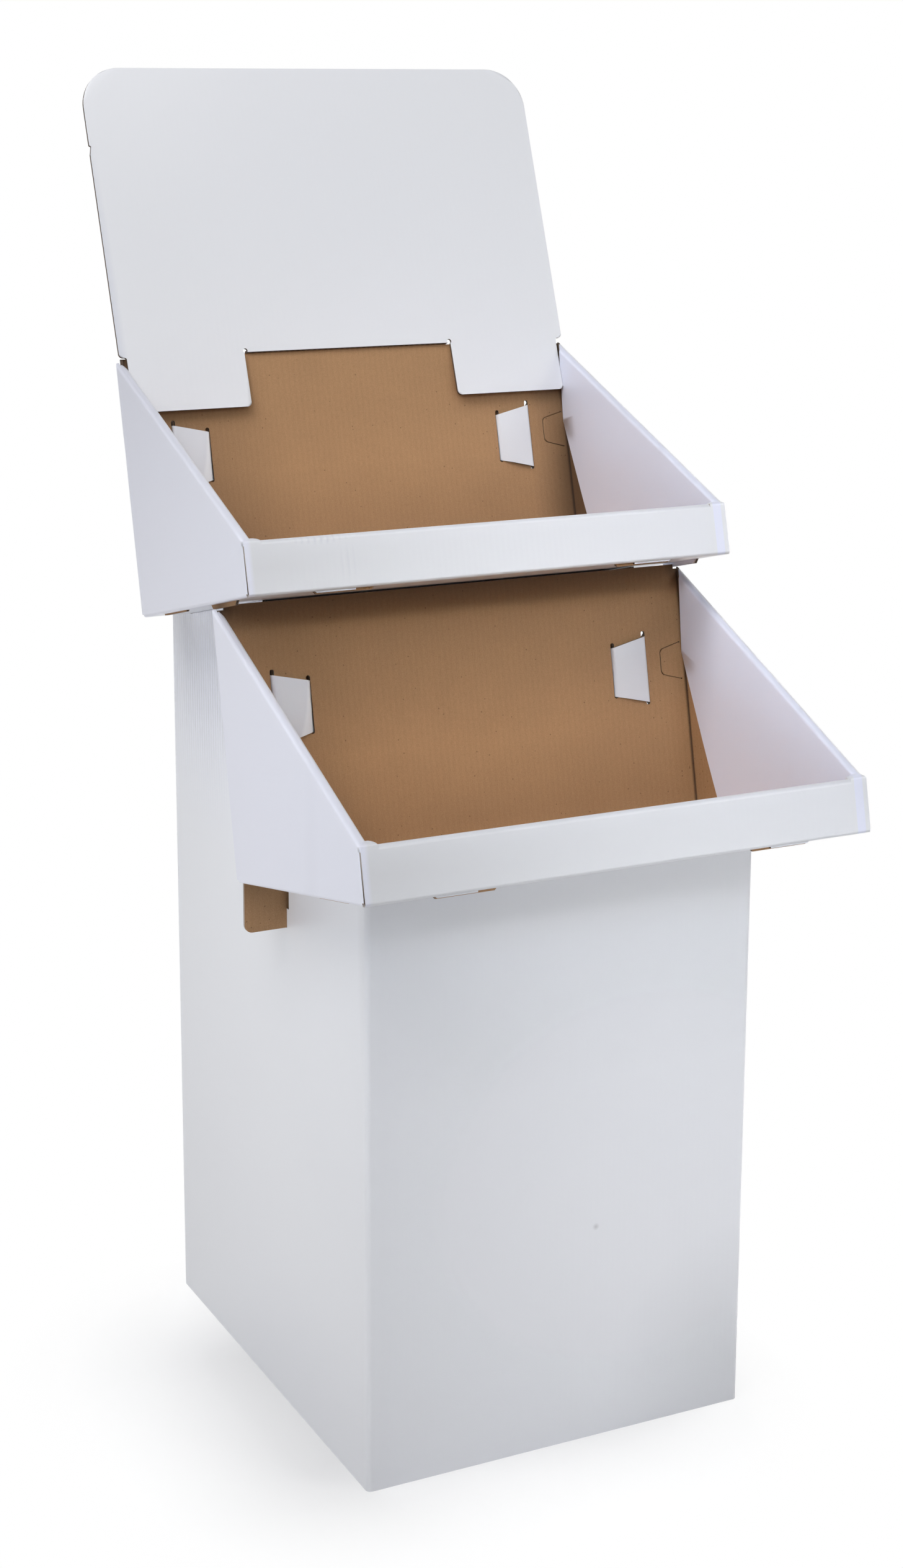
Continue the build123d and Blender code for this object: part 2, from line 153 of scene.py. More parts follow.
# %% Colour and surface helpers
def tinted(tree, factor, dark, light):
    """A colour between two colours."""
    node = add(tree, "ShaderNodeMix", {"Factor": factor}, data_type="RGBA")
    node.inputs[6].default_value = (*dark, 1.0)
    node.inputs[7].default_value = (*light, 1.0)
    return node.outputs[2]


def toned(tree, colour, near, depth, tint):
    """A colour that turns towards a tint where a share is high."""
    node = add(tree, "ShaderNodeMix", {"Factor": math_node(tree, "MULTIPLY", near, depth)}, data_type="RGBA")
    tree.links.new(colour, node.inputs[6])
    node.inputs[7].default_value = (*tint, 1.0)
    return node.outputs[2]


def bumped(tree, height, distance, below=None):
    """A bump of a given depth, laid over the one below it."""
    inputs = {"Height": height, "Distance": distance}
    if below is not None:
        inputs["Normal"] = below
    return add(tree, "ShaderNodeBump", inputs).outputs[0]


def close_surface(tree, output, inputs):
    """Plug the finished values into one shader and the shader into the output."""
    surface = add(tree, "ShaderNodeBsdfPrincipled", inputs)
    tree.links.new(surface.outputs[0], output.inputs["Surface"])


# %% [markdown]
# Corrugated board is two flat liners with a wavy sheet glued between them. The waves are called flutes.
# Each sheet carries a UV map named flutes, in metres: U runs across the flutes and V along them, and on
# a cut edge V is the place through the board, from the white liner at 0 to the brown one at 1. So one
# wave formula gives the faint washboard on the liners and the real wave in the cut edges.

# %% Flutes
FLUTE_PITCH = 6.45 * MM


def flute_coordinates(tree):
    """The flutes UV map, and its two parts."""
    uv = add(tree, "ShaderNodeUVMap", uv_map="flutes").outputs["UV"]
    parts = add(tree, "ShaderNodeSeparateXYZ", {"Vector": uv})
    return uv, parts.outputs["X"], parts.outputs["Y"]


def flute_wave(tree, across):
    """The flutes' wave, from -1 to 1."""
    turns = math_node(tree, "MULTIPLY", across, 2 * math.pi / FLUTE_PITCH)
    return math_node(tree, "SINE", turns)


print("flutes in a metre of board:", round(1 / FLUTE_PITCH))

# %% [markdown]
# Some painted shades and marks belong to one place, such as a crushed spot or a crease's painted shade.
# Each is given by a middle point and its reach along X, Y and Z, and a short formula says how near any
# point is to it. On a tray such a place is easier to give on the level, untipped blank, so the trays'
# points will carry their place there in an attribute named blank. It is lifted by a metre, because it
# reads as zero on the other sheets and must miss them.

# %% Places
BLANK_LIFT = 1.0


def blank_place(tree):
    """Where a point of a tray lies in its blank's own frame, lifted. It is zero on the other sheets."""
    return add(tree, "ShaderNodeAttribute", attribute_name="blank").outputs["Vector"]


def nearness(tree, place, middle, reach, full=0.35):
    """1 round a middle point, as far as a share of the reach, falling to 0 at the reach along each axis."""
    offset = vector_node(tree, "SUBTRACT", place, middle)
    scaled = vector_node(tree, "DIVIDE", offset, reach)
    return spread(tree, vector_node(tree, "LENGTH", scaled), full, 1.0, 1.0, 0.0)


# %% [markdown]
# The outside is a white clay-coated liner, smooth and a little glossy, so it mirrors bright things
# softly. Three bumps shape it: the flutes' washboard, which comes and goes, the long wander of a sheet
# that is never quite flat, and the grain of the coating. In a few places the board was pressed, and
# there the washboard is deeper and its hollows get a painted shade. Other places have a smudge, or a
# painted shade that is cool on the trays' side panels and on the column's side, and the tops of the
# rolls, which face the overhead lamps, are darkened by a painted shade.

# %% Places on the white liner
SHADE, SMUDGE = (0.10, 0.10, 0.10), (0.16, 0.15, 0.15)
# Each pressed place has a middle, a reach, the extra depth of the washboard and the depth of the painted
# shade in its hollows.
PRESSED_WITH_SHADE = [
    ((-0.210, 0.150, 0.770), (0.008, 0.180, 0.210), 26.0, 0.10),    # column's side, under the upper tray
    ((-0.185, -0.100, 0.909), (0.042, 0.014, 0.009), 30.0, 0.30),   # top of the upper lip
    ((-0.160, -0.107, 0.892), (0.016, 0.014, 0.030), 9.0, 0.16),    # front of the upper lip
]
# Each smudge or painted shade has a middle, a reach, a depth and a tint.
SMUDGES_AND_SHADES = [
    ((0.0386, -0.2443, 0.2256), (0.0040, 0.0040, 0.0040), 0.35, SMUDGE),        # column's front
    ((0.2095, -0.2440, 0.0465), (0.0022, 0.0022, 0.0022), 0.80, SMUDGE),        # its right edge
    # The rest are painted shade: cool on the upper tray's side and the column's side, plain on the front.
    ((-0.264, 0.210, 1.090), (0.012, 0.22, 0.26), 0.45, (0.50, 0.53, 0.66)),    # upper tray's side, rear top
    ((-0.210, 0.120, 0.740), (0.010, 0.26, 0.20), 0.20, (0.62, 0.66, 0.90)),    # column's side, below that
    ((0.0, -0.2443, 0.600), (0.90, 0.02, 0.22), 0.16, SHADE),                   # front, under the lower tray
    ((0.21, -0.2443, 0.040), (0.16, 0.02, 0.16), 0.17, SHADE),                  # front, low on the right
]
# A painted shade on a tray also has the share of its reach that takes the full tint.
TRAY_PAINTED_SHADES = [
    # Painted shade on the lip, painted cool shade on the left side's outer panel and
    # the right side's inner panel, and painted shade on the left strap.
    ((-0.240, 0.0, BLANK_LIFT + 0.026), (0.62, 0.005, 0.11), 0.0, 0.80, (0.60, 0.60, 0.61)),
    ((-0.264, 0.15, BLANK_LIFT + 0.130), (0.008, 0.60, 0.60), 0.5, 0.80, (0.722, 0.730, 0.825)),
    ((0.2544, 0.15, BLANK_LIFT + 0.130), (0.0055, 0.60, 0.60), 0.8, 0.90, (0.775, 0.795, 0.930)),
    ((-0.210, 0.2964, BLANK_LIFT + 0.210), (0.0385, 0.004, 0.105), 0.93, 0.34, (0.52, 0.53, 0.60)),
]
print("marks on the white liner:", len(PRESSED_WITH_SHADE) + len(SMUDGES_AND_SHADES) + len(TRAY_PAINTED_SHADES))

# %% White liner
COATING_DARK, COATING_LIGHT = (0.795, 0.806, 0.846), (0.812, 0.822, 0.858)
ROLL_TOP_FACING, ROLL_TOP_SHADE_DEPTH, ROLL_TOP_SHADE_TINT = (0.42, 0.80), 0.26, (0.10, 0.10, 0.13)
HOLLOW_SHADE_TINT = (0.30, 0.32, 0.42)
WASHBOARD_DEPTH, WANDER_DEPTH, GRAIN_DEPTH = 0.012 * MM, 2.0 * MM, 0.008 * MM
COATING_ROUGHNESS = (0.285, 0.335)


def white_liner():
    """Coated white board, with smudges and painted shade."""
    material, tree, output = new_material("white_coated_liner")
    _, across, _ = flute_coordinates(tree)
    place = add(tree, "ShaderNodeTexCoord").outputs["Object"]
    cloud = spread(tree, noise(tree, place, 5.0, 1.0), 0.1, 0.9)
    colour = tinted(tree, cloud, COATING_DARK, COATING_LIGHT)
    # Smudges, and painted shade on the column and the upper tray's side.
    for middle, reach, depth, tint in SMUDGES_AND_SHADES:
        colour = toned(tree, colour, nearness(tree, place, middle, reach, 0.0), depth, tint)
    # Painted shade and painted cool shade on the trays.
    for middle, reach, full, depth, tint in TRAY_PAINTED_SHADES:
        colour = toned(tree, colour, nearness(tree, blank_place(tree), middle, reach, full), depth, tint)
    # Painted shade on surfaces that face up, such as the tops of the rolls under the overhead lamps.
    facing = add(tree, "ShaderNodeNewGeometry").outputs["Normal"]
    upward = add(tree, "ShaderNodeSeparateXYZ", {"Vector": facing}).outputs["Z"]
    colour = toned(tree, colour, spread(tree, upward, *ROLL_TOP_FACING), ROLL_TOP_SHADE_DEPTH, ROLL_TOP_SHADE_TINT)
    wave = flute_wave(tree, across)
    depth = spread(tree, noise(tree, place, 4.0, 2.0), 0.42, 0.66, 0.1, 0.9)
    for middle, reach, extra, shade_depth in PRESSED_WITH_SHADE:
        near = nearness(tree, place, middle, reach)
        depth = math_node(tree, "MULTIPLY_ADD", near, extra, depth)
        # Painted shade in the hollows of the pressed washboard.
        hollow_shade = math_node(tree, "MULTIPLY", near, spread(tree, wave, 0.0, 1.0))
        colour = toned(tree, colour, hollow_shade, shade_depth, HOLLOW_SHADE_TINT)
    normal = bumped(tree, math_node(tree, "MULTIPLY", wave, depth), WASHBOARD_DEPTH)
    normal = bumped(tree, noise(tree, place, 4.0, 1.0), WANDER_DEPTH, normal)
    normal = bumped(tree, noise(tree, place, 900.0, 3.0, 0.6), GRAIN_DEPTH, normal)
    roughness = spread(tree, noise(tree, place, 6.0, 1.0), 0.1, 0.9, *COATING_ROUGHNESS)
    close_surface(tree, output, {"Base Color": colour, "Roughness": roughness, "Normal": normal, "IOR": 1.5})
    print(material.name, len(tree.nodes), "nodes")
    return material


# %% [markdown]
# The inside is the bare brown liner. Brown kraft paper is matt and made of visible fibres: it has soft
# clouds, short streaks along the flutes and scattered dark specks. Deep in the trays the paper gets a
# painted shade, beside the side walls, under the upper tray and low behind the lips, and a painted
# shade runs down each fold beside the back wall as a dark crease. These crease shades are the same on
# both sides, so they are placed by the size of X.

# %% Places on the brown liner
# Each place of painted shade has a middle, a reach and a depth.
KRAFT_SHADES = [
    ((0.272, 0.185, 0.905), (0.065, 0.20, 0.30), 1.00),     # upper tray, right corner
    ((-0.272, 0.185, 0.905), (0.20, 0.20, 0.30), 0.62),     # upper tray, left corner
    ((-0.272, -0.050, 0.700), (0.17, 0.12, 0.25), 0.35),    # lower tray, left corner
    ((0.0, -0.012, 0.838), (0.90, 0.03, 0.034), 0.80),      # lower back wall, its top edge
    ((0.0, -0.025, 0.820), (0.90, 0.07, 0.110), 0.30),      # lower back wall, below that
    ((0.0, 0.200, 0.850), (0.90, 0.07, 0.080), 0.28),       # upper back wall, behind the lip
    ((0.0, -0.060, 0.600), (0.90, 0.07, 0.080), 0.28),      # lower back wall, behind the lip
]
# Painted shade along the folds beside the back wall, as a dark crease line.
CREASE_SHADES = [
    ((0.2577, 0.300, BLANK_LIFT + 0.130), (0.003, 0.003, 1.0), 0.85),       # rear fold
    ((0.2577, 0.303, BLANK_LIFT + 0.266), (0.016, 0.010, 0.020), 0.75),     # its top end
]
print("shades on the brown liner:", len(KRAFT_SHADES) + len(CREASE_SHADES))

# %% Brown liner
KRAFT_DARK, KRAFT_LIGHT = (0.352, 0.196, 0.093), (0.497, 0.290, 0.146)
KRAFT_SHADE, CREASE_SHADE_TINT = (0.05, 0.026, 0.014), (0.03, 0.017, 0.011)
SPECK_DEPTH, SPECK_TINT = 0.55, (0.12, 0.06, 0.03)
SPECK_SIZE, SPECK_SHARE = 0.16, 0.08
CLOUD_PART, STREAK_PART, FIBRE_PART, FLUTE_PART = 0.22, 0.20, 0.45, 0.018
STREAK_SCALE = (900.0, 150.0, 1.0)
KRAFT_WAVE_DEPTH, FIBRE_DEPTH = 0.03 * MM, 0.05 * MM


def kraft_specks(tree, place):
    """1 in a few scattered small spots."""
    cells = add(tree, "ShaderNodeTexVoronoi", {"Vector": place, "Scale": 210.0, "Randomness": 1.0})
    spot = math_node(tree, "LESS_THAN", cells.outputs["Distance"], SPECK_SIZE)
    lot = add(tree, "ShaderNodeSeparateColor", {"Color": cells.outputs["Color"]}).outputs[0]
    return math_node(tree, "MULTIPLY", spot, math_node(tree, "LESS_THAN", lot, SPECK_SHARE))


def kraft_liner():
    """Uncoated brown kraft board, with painted shade deep in the trays and in its creases."""
    material, tree, output = new_material("brown_kraft_liner")
    uv, across, _ = flute_coordinates(tree)
    place = add(tree, "ShaderNodeTexCoord").outputs["Object"]
    streaked = add(tree, "ShaderNodeMapping", {"Vector": uv, "Scale": STREAK_SCALE}).outputs["Vector"]
    cloud = noise(tree, place, 14.0, 4.0, 0.6)
    streak = noise(tree, streaked, 1.0, 3.0, 0.6)
    fibre = noise(tree, place, 1100.0, 2.0, 0.6)
    wave = flute_wave(tree, across)
    tone = math_node(tree, "MULTIPLY", streak, STREAK_PART)
    tone = math_node(tree, "MULTIPLY_ADD", cloud, CLOUD_PART, tone)
    tone = math_node(tree, "MULTIPLY_ADD", fibre, FIBRE_PART, tone)
    tone = math_node(tree, "MULTIPLY_ADD", wave, FLUTE_PART, tone)
    colour = tinted(tree, spread(tree, tone, 0.26, 0.58), KRAFT_DARK, KRAFT_LIGHT)
    colour = toned(tree, colour, kraft_specks(tree, place), SPECK_DEPTH, SPECK_TINT)
    # Painted shade in the trays' corners, under the upper tray and behind the lips.
    for middle, reach, depth in KRAFT_SHADES:
        colour = toned(tree, colour, nearness(tree, place, middle, reach, 0.0), depth, KRAFT_SHADE)
    # Painted shade in the creases, on both sides.
    both_sides = vector_node(tree, "ABSOLUTE", blank_place(tree))
    for middle, reach, depth in CREASE_SHADES:
        colour = toned(tree, colour, nearness(tree, both_sides, middle, reach, 0.15), depth, CREASE_SHADE_TINT)
    normal = bumped(tree, wave, KRAFT_WAVE_DEPTH)
    normal = bumped(tree, fibre, FIBRE_DEPTH, normal)
    roughness = spread(tree, cloud, 0.3, 0.7, 0.72, 0.86)
    close_surface(tree, output, {"Base Color": colour, "Roughness": roughness, "Normal": normal, "IOR": 1.4})
    print(material.name, len(tree.nodes), "nodes")
    return material


# %% [markdown]
# A knife leaves the board's section bare: the two liners as thin lines, the wavy sheet between them,
# and the hollows beside the wave, darkened by a painted shade. Near the white liner the edge keeps
# some of its coating.

# %% Cut edge
WAVE_REACH = 0.36
PAPER = 0.10
HOLLOW_SHADE_BROWN, PAPER_BROWN = (0.050, 0.032, 0.021), (0.27, 0.18, 0.12)
COATED_EDGE, COATED_SHARE = (0.60, 0.58, 0.57), 0.4
SECTION_DEPTH = 0.4 * MM


def cut_edge():
    """The board's section, where a knife went through it, with painted shade in its hollows."""
    material, tree, output = new_material("board_cut_edge")
    _, across, through = flute_coordinates(tree)
    place = add(tree, "ShaderNodeTexCoord").outputs["Object"]
    wave = math_node(tree, "MULTIPLY_ADD", flute_wave(tree, across), WAVE_REACH, 0.5)
    off_wave = math_node(tree, "ABSOLUTE", math_node(tree, "SUBTRACT", through, wave))
    on_wave = spread(tree, off_wave, PAPER * 0.5, PAPER * 1.4, 1.0, 0.0)
    off_middle = math_node(tree, "ABSOLUTE", math_node(tree, "SUBTRACT", through, 0.5))
    on_liner = spread(tree, off_middle, 0.5 - PAPER * 1.5, 0.5 - PAPER * 0.9)
    paper = math_node(tree, "MAXIMUM", on_wave, on_liner)
    fibre = noise(tree, place, 1500.0, 2.0, 0.6)
    tone = math_node(tree, "MULTIPLY", paper, spread(tree, fibre, 0.3, 0.7, 0.75, 1.0))
    # The hollows between the paper get a painted shade.
    brown = tinted(tree, tone, HOLLOW_SHADE_BROWN, PAPER_BROWN)
    coated = toned(tree, brown, spread(tree, through, 0.02, 0.07, 1.0, 0.0), COATED_SHARE, COATED_EDGE)
    normal = bumped(tree, paper, SECTION_DEPTH)
    close_surface(tree, output, {"Base Color": coated, "Roughness": 0.85, "Normal": normal})
    print(material.name, len(tree.nodes), "nodes")
    return material


WHITE, KRAFT, CUT = 0, 1, 2
FINISHES = [white_liner(), kraft_liner(), cut_edge()]

# %% [markdown]
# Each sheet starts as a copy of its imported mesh. Smooth patches of faces are found by walking over
# every edge that bends less than a set angle, so a patch is one liner with its folds, or one cut edge.
# A list of flat places then says which patches are white and which are brown, and what is left is a cut
# edge.

# %% Patches of a sheet
SHARP_BEND = math.radians(50)
NEAR = 0.25 * MM


def sheet_mesh(node):
    """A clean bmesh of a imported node, with doubled points merged."""
    bm = bmesh.new()
    bm.from_mesh(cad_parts[node].data)
    bmesh.ops.remove_doubles(bm, verts=bm.verts, dist=0.001 * MM)
    bmesh.ops.dissolve_limit(bm, angle_limit=math.radians(0.2), verts=bm.verts, edges=bm.edges)
    bmesh.ops.triangulate(bm, faces=[f for f in bm.faces if len(f.verts) > 4])
    bm.normal_update()
    return bm


def smooth_patches(bm):
    """Groups of faces joined over soft edges."""
    patches, seen = [], set()
    for start in bm.faces:
        if start in seen:
            continue
        patch, queue = [], [start]
        seen.add(start)
        while queue:
            face = queue.pop()
            patch.append(face)
            for edge in face.edges:
                if edge.calc_face_angle(math.pi) > SHARP_BEND:
                    continue
                for other in edge.link_faces:
                    if other not in seen:
                        seen.add(other)
                        queue.append(other)
        patches.append(patch)
    return patches


def lies_on(face, axis, place, facing):
    """Whether a face lies in the plane at a place on an axis and faces that way."""
    middle = face.calc_center_median()
    return face.normal[axis] * facing > 0.999 and abs(middle[axis] - place) < NEAR


def paint(bm, liner_places):
    """Give each patch its liner, from a list of (axis, place, facing, liner)."""
    counts = [0, 0, 0]
    for patch in smooth_patches(bm):
        finish = CUT
        for face in patch:
            for axis, place, facing, liner in liner_places:
                if lies_on(face, axis, place, facing):
                    finish = liner
        counts[finish] += 1
        for face in patch:
            face.material_index = finish
    print("patches: white {}, brown {}, cut {}".format(*counts))


# %% [markdown]
# The flutes map is laid next. On a liner each corner's U is its distance along the axis that crosses
# the flutes. A cut edge borrows that axis from the liner beside it, and V compares its distances to the
# nearest white and the nearest brown face, which are found with a search tree for each liner.

# %% Flutes map
def liner_tree(bm, liner):
    """A search tree over the faces of one liner."""
    points = [vert.co.copy() for vert in bm.verts]
    faces = [[vert.index for vert in face.verts] for face in bm.faces if face.material_index == liner]
    return BVHTree.FromPolygons(points, faces)


def map_flutes(bm, across_axis):
    """Lay the flutes map. across_axis gives a liner face's axis across the flutes and the one along them."""
    layer = bm.loops.layers.uv.new("flutes")
    bm.verts.index_update()
    white, brown = liner_tree(bm, WHITE), liner_tree(bm, KRAFT)
    for face in bm.faces:
        if face.material_index == CUT:
            beside = [f for e in face.edges for f in e.link_faces if f.material_index != CUT]
            across = across_axis(beside[0])[0] if beside else X
            for loop in face.loops:
                to_white, to_brown = (tree.find_nearest(loop.vert.co)[3] or 0.0 for tree in (white, brown))
                through = to_white / max(to_white + to_brown, 0.01 * MM)
                loop[layer].uv = (loop.vert.co.dot(across), through)
        else:
            across, along = across_axis(face)
            for loop in face.loops:
                loop[layer].uv = (loop.vert.co.dot(across), loop.vert.co.dot(along))


def note_places(bm):
    """Store each point's place in the blank's own frame, for the marks on the trays."""
    layer = bm.verts.layers.float_vector.new("blank")
    for vert in bm.verts:
        vert[layer] = vert.co + BLANK_LIFT * Z


# %% [markdown]
# Nothing on the stand moves, so every dressed sheet rides on the root body. It stands in for its packed
# node, which is hidden. Weighted normals keep the large panels flat beside their small folds.

# %% Placing a sheet
def place_sheet(bm, name, node):
    """Turn the finished bmesh into a piece that stands for its node."""
    mesh = bpy.data.meshes.new(name)
    bm.to_mesh(mesh)
    bm.free()
    for material in FINISHES:
        mesh.materials.append(material)
    mesh.shade_smooth()
    mesh.set_sharp_from_angle(angle=SHARP_BEND)
    piece = bpy.data.objects.new(name, mesh)
    bpy.context.scene.collection.objects.link(piece)
    weighted = piece.modifiers.new("flat_panels", "WEIGHTED_NORMAL")
    weighted.keep_sharp = True
    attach(piece, "root")
    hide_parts(node)
    print(name, len(mesh.polygons), "faces")
    return piece


# %% [markdown]
# The column is a folded sleeve whose flutes run upright. Its outer faces are white and its inner faces
# brown. Their places are read from the node's own box and the board's thickness.

# %% Column
BOARD = 3.0 * MM


def column_axes(face):
    """Upright flutes: U runs round the sleeve."""
    return (X if abs(face.normal.y) > abs(face.normal.x) else Y), Z


low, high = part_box("column")
column_liners = []
for axis in (0, 1):
    column_liners += [(axis, low[axis], -1, WHITE), (axis, high[axis], 1, WHITE)]
    column_liners += [(axis, low[axis] + BOARD, 1, KRAFT), (axis, high[axis] - BOARD, -1, KRAFT)]
column_liners.append((0, high.x - 2 * BOARD, -1, KRAFT))     # the glued lap
sheet = sheet_mesh("column")
paint(sheet, column_liners)
map_flutes(sheet, column_axes)
place_sheet(sheet, "column_sleeve", "column")

# %% [markdown]
# Both trays are folded from the same blank and tipped back by their own angle. Working on them is
# easiest in the blank's own frame, with the floor level and the lip's foot at zero, so the mesh is
# turned there, painted, and turned back. First come the places of the flat parts, from the outside of
# each stack of layers inwards.

# %% Tray liners
STACK = 9.6 * MM
PLY_GAP = 0.3 * MM
TRAY_W, TRAY_D = 528.0 * MM, 303.0 * MM


def tray_liners():
    """Where the flat parts of a tray's two liners lie."""
    second = BOARD + PLY_GAP
    strap = TRAY_D - 2 * second
    places = [
        (2, 0.0, -1, WHITE), (2, BOARD, 1, KRAFT),
        (1, 0.0, -1, WHITE), (1, BOARD, 1, KRAFT),
        (1, second, -1, WHITE), (1, second + BOARD, 1, KRAFT),
        (1, STACK - BOARD, -1, KRAFT), (1, STACK, 1, WHITE),
        (1, TRAY_D, 1, WHITE), (1, TRAY_D - BOARD, -1, KRAFT),
        (1, TRAY_D + PLY_GAP, -1, KRAFT), (1, TRAY_D + second, 1, WHITE),
        (1, strap + PLY_GAP, -1, WHITE), (1, strap + second, 1, KRAFT),
    ]
    for side in (-1, 1):
        outer = side * TRAY_W / 2
        for inset, facing, liner in (
            (0.0, 1, WHITE), (BOARD, -1, KRAFT), (second, 1, WHITE),
            (second + BOARD, -1, KRAFT), (STACK - BOARD, 1, KRAFT), (STACK, -1, WHITE),
        ):
            places.append((0, outer - side * inset, side * facing, liner))
    return places


def tray_axes(face):
    """Flutes run from front to back in the floor and side walls, and up the lip and the back wall."""
    middle = face.calc_center_median()
    inset = TRAY_W / 2 - abs(middle.x)
    is_flap = abs(middle.y - TRAY_D) > BOARD and middle.y > TRAY_D - 3 * BOARD
    if abs(face.normal.x) > 0.5:
        in_corner_flap = BOARD < inset < 2 * STACK / 3 and middle.y > TRAY_D / 2
        return (Y, Z) if in_corner_flap else (Z, Y)
    return (Z, X) if is_flap and abs(face.normal.y) > 0.5 else (X, Z)


print("flat places of a tray:", len(tray_liners()))

# %% [markdown]
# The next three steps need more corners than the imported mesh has, so the wanted faces are first cut
# with planes. The lip's outer panel ends in a cut edge that lies flush with the tray's side. The packed
# mesh has one white face there, so the end is cut free and painted as a cut edge, and it shows as a
# thin seam.

# %% Lip ends
LIP_H, SIDE_H = 52.5 * MM, 266.0 * MM


def cut_grid(bm, wanted, axis, places):
    """Cut the wanted faces with planes across an axis."""
    for place in places:
        faces = [face for face in bm.faces if wanted(face)]
        edges = {edge for face in faces for edge in face.edges}
        verts = {vert for face in faces for vert in face.verts}
        geometry = list(verts) + list(edges) + faces
        bmesh.ops.bisect_plane(bm, geom=geometry, dist=0.01 * MM, plane_co=axis * place, plane_no=axis)


def bare_lip_ends(bm):
    """Show the cut edge at both ends of the lip's outer panel."""
    lip_middle = LIP_H - STACK / 2

    def on_side(face):
        return abs(face.normal.x) > 0.9 and abs(face.calc_center_median().x) > TRAY_W / 2 - NEAR

    cut_grid(bm, on_side, Y, [BOARD])
    cut_grid(bm, on_side, Z, [lip_middle])
    for face in bm.faces:
        middle = face.calc_center_median()
        if on_side(face) and middle.y < BOARD and middle.z < lip_middle:
            face.material_index = CUT


# %% [markdown]
# A folded panel is never quite flat. The inner side panels bulge a little into the tray, so they are
# cut into a grid and each point is moved by a smooth amount that is zero at the panel's edges.

# %% Bulged panels
BULGE = 4.0 * MM
BULGE_CELL = 30 * MM


def wave_between(value, low, high):
    """A half wave: 0 at both ends, 1 in the middle."""
    share = min(max((value - low) / (high - low), 0.0), 1.0)
    return math.sin(math.pi * share)


def bulge_inner_panels(bm):
    """Push the middle of both inner side panels into the tray."""
    inset = TRAY_W / 2 - STACK

    def on_panel(face):
        middle = face.calc_center_median()
        return abs(face.normal.x) > 0.9 and inset - NEAR < abs(middle.x) < inset + BOARD + NEAR

    cut_grid(bm, on_panel, Y, [i * BULGE_CELL for i in range(1, 10)])
    cut_grid(bm, on_panel, Z, [i * BULGE_CELL for i in range(1, 8)])
    for vert in bm.verts:
        if inset - NEAR < abs(vert.co.x) < inset + BOARD + NEAR:
            top = LIP_H + (SIDE_H - LIP_H) * vert.co.y / TRAY_D - STACK / 2
            share = wave_between(vert.co.y, STACK, TRAY_D) * wave_between(vert.co.z, 2 * BOARD, top)
            vert.co.x -= math.copysign(BULGE * share, vert.co.x)


# %% [markdown]
# Each strap lies before the back wall and tucks into a slot. The board can't turn in there at a sharp
# corner, so the strap's inner end leans back past a slanted line, which starts near the end at the top
# and further from it at the foot.

# %% Bent straps
STRAP_INNER = 93.4 * MM     # from the tray's side
STRAP_TOP, STRAP_FOOT = 187.7 * MM, 137.7 * MM
LEAN_TOP, LEAN_FOOT = 1.5 * MM, 13.0 * MM
LEAN = 0.25


def bend_straps(bm):
    """Lean each strap's inner end back into its slot, past a slanted line."""
    strap_y = TRAY_D - 2 * (BOARD + PLY_GAP)
    slant = (LEAN_FOOT - LEAN_TOP) / (STRAP_TOP - STRAP_FOOT)

    def on_strap(face):
        middle = face.calc_center_median()
        inset = TRAY_W / 2 - abs(middle.x)
        return BOARD * 10 < inset < STRAP_INNER and strap_y - NEAR < middle.y < strap_y + BOARD + NEAR

    for side in (-1, 1):
        across = Vector((1, 0, side * slant)).normalized()
        top = Vector((side * (TRAY_W / 2 - STRAP_INNER + LEAN_TOP), 0, STRAP_TOP))
        cut_grid(bm, on_strap, across, [across.dot(top)])
    for vert in bm.verts:
        line = STRAP_INNER - LEAN_TOP - slant * (STRAP_TOP - vert.co.z)
        past = TRAY_W / 2 - abs(vert.co.x) - line
        if 0 < past < LEAN_FOOT + 2 * BOARD and strap_y - NEAR < vert.co.y < strap_y + BOARD + NEAR:
            vert.co.y += LEAN * past


# %% [markdown]
# Now both trays can be dressed. The flutes and the places for the marks are noted while the panels are
# still flat, and the bulge and the bends come after.

# %% Trays
LOWER_LIP, LOWER_TILT = Vector((0, -0.36129, 0.632)), math.radians(11.9)
UPPER_LIP, UPPER_TILT = Vector((0, -0.10479, 0.8586)), math.radians(14.1)


def dress_tray(name, node, lip, tilt):
    """Paint and bend one tray in the blank's own frame."""
    pose = Matrix.Translation(lip) @ Matrix.Rotation(-tilt, 4, "X")
    bm = sheet_mesh(node)
    bmesh.ops.transform(bm, matrix=pose.inverted(), verts=bm.verts)
    bm.normal_update()
    paint(bm, tray_liners())
    bare_lip_ends(bm)
    map_flutes(bm, tray_axes)
    note_places(bm)
    bulge_inner_panels(bm)
    bend_straps(bm)
    bmesh.ops.transform(bm, matrix=pose, verts=bm.verts)
    return place_sheet(bm, name, node)


dress_tray("lower_tray_blank", "lower_tray", LOWER_LIP, LOWER_TILT)
dress_tray("upper_tray_blank", "upper_tray", UPPER_LIP, UPPER_TILT)

# %% [markdown]
# The header card hangs over the upper tray's back wall and leans back a little more than the wall does.
# It is painted in its own leaning frame too. Its front is the one large white face, the other large
# patches are brown, and the narrow ones are cut edges.

# %% Header card
HEADER_TILT = math.radians(20.3)
TRAY_BACK_H = 269.0 * MM
SEAT_GAP = 0.3 * MM
LEAST_LINER = 0.006     # square metres, more than any cut edge of the card


